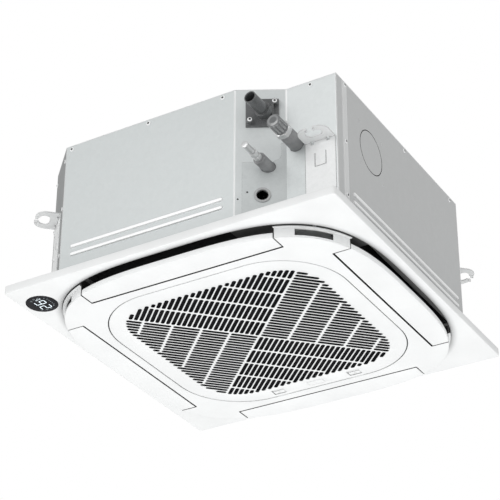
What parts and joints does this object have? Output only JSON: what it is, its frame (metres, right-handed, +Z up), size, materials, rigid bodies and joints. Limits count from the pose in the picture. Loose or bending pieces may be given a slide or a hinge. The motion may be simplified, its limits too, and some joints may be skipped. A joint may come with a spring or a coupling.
{
  "type": "ceiling cassette air conditioner",
  "caption": "Square ceiling cassette unit: sheet metal casing with hangers and pipe stubs above a wide flat panel with tilting air vanes and a slotted intake grille.",
  "frame": {"origin": "vertical centre line of the casing, in the plane where the hanger plates bear on the rod nuts", "axes": "+Z up to the slab, -Y out of the long face beside the pipe stubs, +X out of the face with the round knock-out"},
  "size_m": [0.95, 0.9861, 0.4548],
  "materials": {
    "galvanised_sheet": "smooth zinc-coated sheet",
    "corner_sheet": "smooth zinc-coated sheet",
    "hanger_steel": "zinc-coated pressing",
    "screw_steel": "plated",
    "white_plastic": "fine satin moulding",
    "display_glass": "polished black",
    "display_light": "lit",
    "copper": "bright copper tube",
    "fin_aluminium": "finned",
    "black_rubber": "matte",
    "pipe_foam": "closed-cell foam",
    "white_foam": "moulded foam",
    "dark_plastic": "matte moulding",
    "nut_metal": "plated brass",
    "natural_plastic": "natural moulding",
    "blue_plastic": "moulding",
    "motor_paint": "grey enamel",
    "board_green": "circuit board"
  },
  "bodies": {
    "housing": {"top_plate": "galvanised_sheet", "front_panel": "galvanised_sheet", "right_panel": "galvanised_sheet", "back_panel": "galvanised_sheet", "left_panel": "galvanised_sheet", "corner_plates": "corner_sheet", "pipe_corner_panel": "galvanised_sheet", "pipe_cover_plate": "galvanised_sheet", "cable_grommet": "black_rubber", "casing_screws": "screw_steel", "hanger_brackets": "hanger_steel", "foam_liner": "pipe_foam", "coil_fins": "fin_aluminium", "coil_end_plates": "galvanised_sheet", "coil_bends": "copper", "gas_pipe": "copper", "gas_nut_ring": "nut_metal", "gas_cap": "dark_plastic", "gas_sleeve": "pipe_foam", "liquid_pipe": "copper", "liquid_union": "nut_metal", "liquid_cap": "nut_metal", "liquid_sleeve": "pipe_foam", "drain_socket": "dark_plastic", "drain_hose": "natural_plastic", "drain_pump": "natural_plastic", "float_switch": "natural_plastic", "drain_pan": "white_foam", "bell_mouth": "dark_plastic", "motor_body": "motor_paint", "motor_mounts": "black_rubber", "motor_studs": "screw_steel", "control_box": "galvanised_sheet", "control_cover": "galvanised_sheet", "control_board": "board_green", "terminal_block": "dark_plastic", "panel_frame": "white_plastic", "centre_frame": "white_plastic", "hinge_pins": "screw_steel", "outlet_foam": "white_foam", "panel_seal": "black_rubber", "panel_screws": "screw_steel", "vane_motors": "natural_plastic", "display_housing": "white_plastic", "display_lens": "display_glass", "display_digits": "display_light"},
    "grille": {"intake_grille": "white_plastic", "grille_cover": "white_plastic", "air_filter": "dark_plastic"},
    "latch_l": {"latch_left": "white_plastic"},
    "latch_r": {"latch_right": "white_plastic"},
    "vane_f": {"vane_front": "white_plastic"},
    "vane_r": {"vane_right": "white_plastic"},
    "vane_b": {"vane_back": "white_plastic"},
    "vane_l": {"vane_left": "white_plastic"},
    "fan": {"fan_impeller": "natural_plastic", "motor_shaft": "screw_steel", "fan_nut": "screw_steel"},
    "float": {"float_body": "natural_plastic"},
    "wheel": {"pump_wheel": "blue_plastic"}
  },
  "joints": [
    {"name": "vane_front_tilt", "type": "hinge", "parent": "housing", "child": "vane_f", "pos_m": [0, -0.3735, -0.2568], "axis": [1, 0, 0], "range_deg": [0, 45]},
    {"name": "vane_right_tilt", "type": "hinge", "parent": "housing", "child": "vane_r", "pos_m": [0.3735, 0, -0.2568], "axis": [0, 1, 0], "range_deg": [0, 45]},
    {"name": "vane_back_tilt", "type": "hinge", "parent": "housing", "child": "vane_b", "pos_m": [0, 0.3735, -0.2568], "axis": [-1, 0, 0], "range_deg": [0, 45]},
    {"name": "vane_left_tilt", "type": "hinge", "parent": "housing", "child": "vane_l", "pos_m": [-0.3735, 0, -0.2568], "axis": [0, -1, 0], "range_deg": [0, 45]},
    {"name": "grille_swing", "type": "hinge", "parent": "housing", "child": "grille", "pos_m": [0, -0.3295, -0.2613], "axis": [-1, 0, 0], "range_deg": [0, 60]},
    {"name": "latch_left_slide", "type": "slide", "parent": "grille", "child": "latch_l", "axis": [0, -1, 0], "range_m": [0, 0.007]},
    {"name": "latch_right_slide", "type": "slide", "parent": "grille", "child": "latch_r", "axis": [0, -1, 0], "range_m": [0, 0.007]},
    {"name": "fan_spin", "type": "hinge", "parent": "housing", "child": "fan", "pos_m": [0, 0, 0.03], "axis": [0, 0, 1], "continuous": true},
    {"name": "float_rise", "type": "slide", "parent": "housing", "child": "float", "axis": [0, 0, 1], "range_m": [0, 0.012]},
    {"name": "pump_wheel_spin", "type": "hinge", "parent": "housing", "child": "wheel", "pos_m": [0.377, -0.298, -0.16], "axis": [0, 0, 1], "continuous": true}
  ]
}
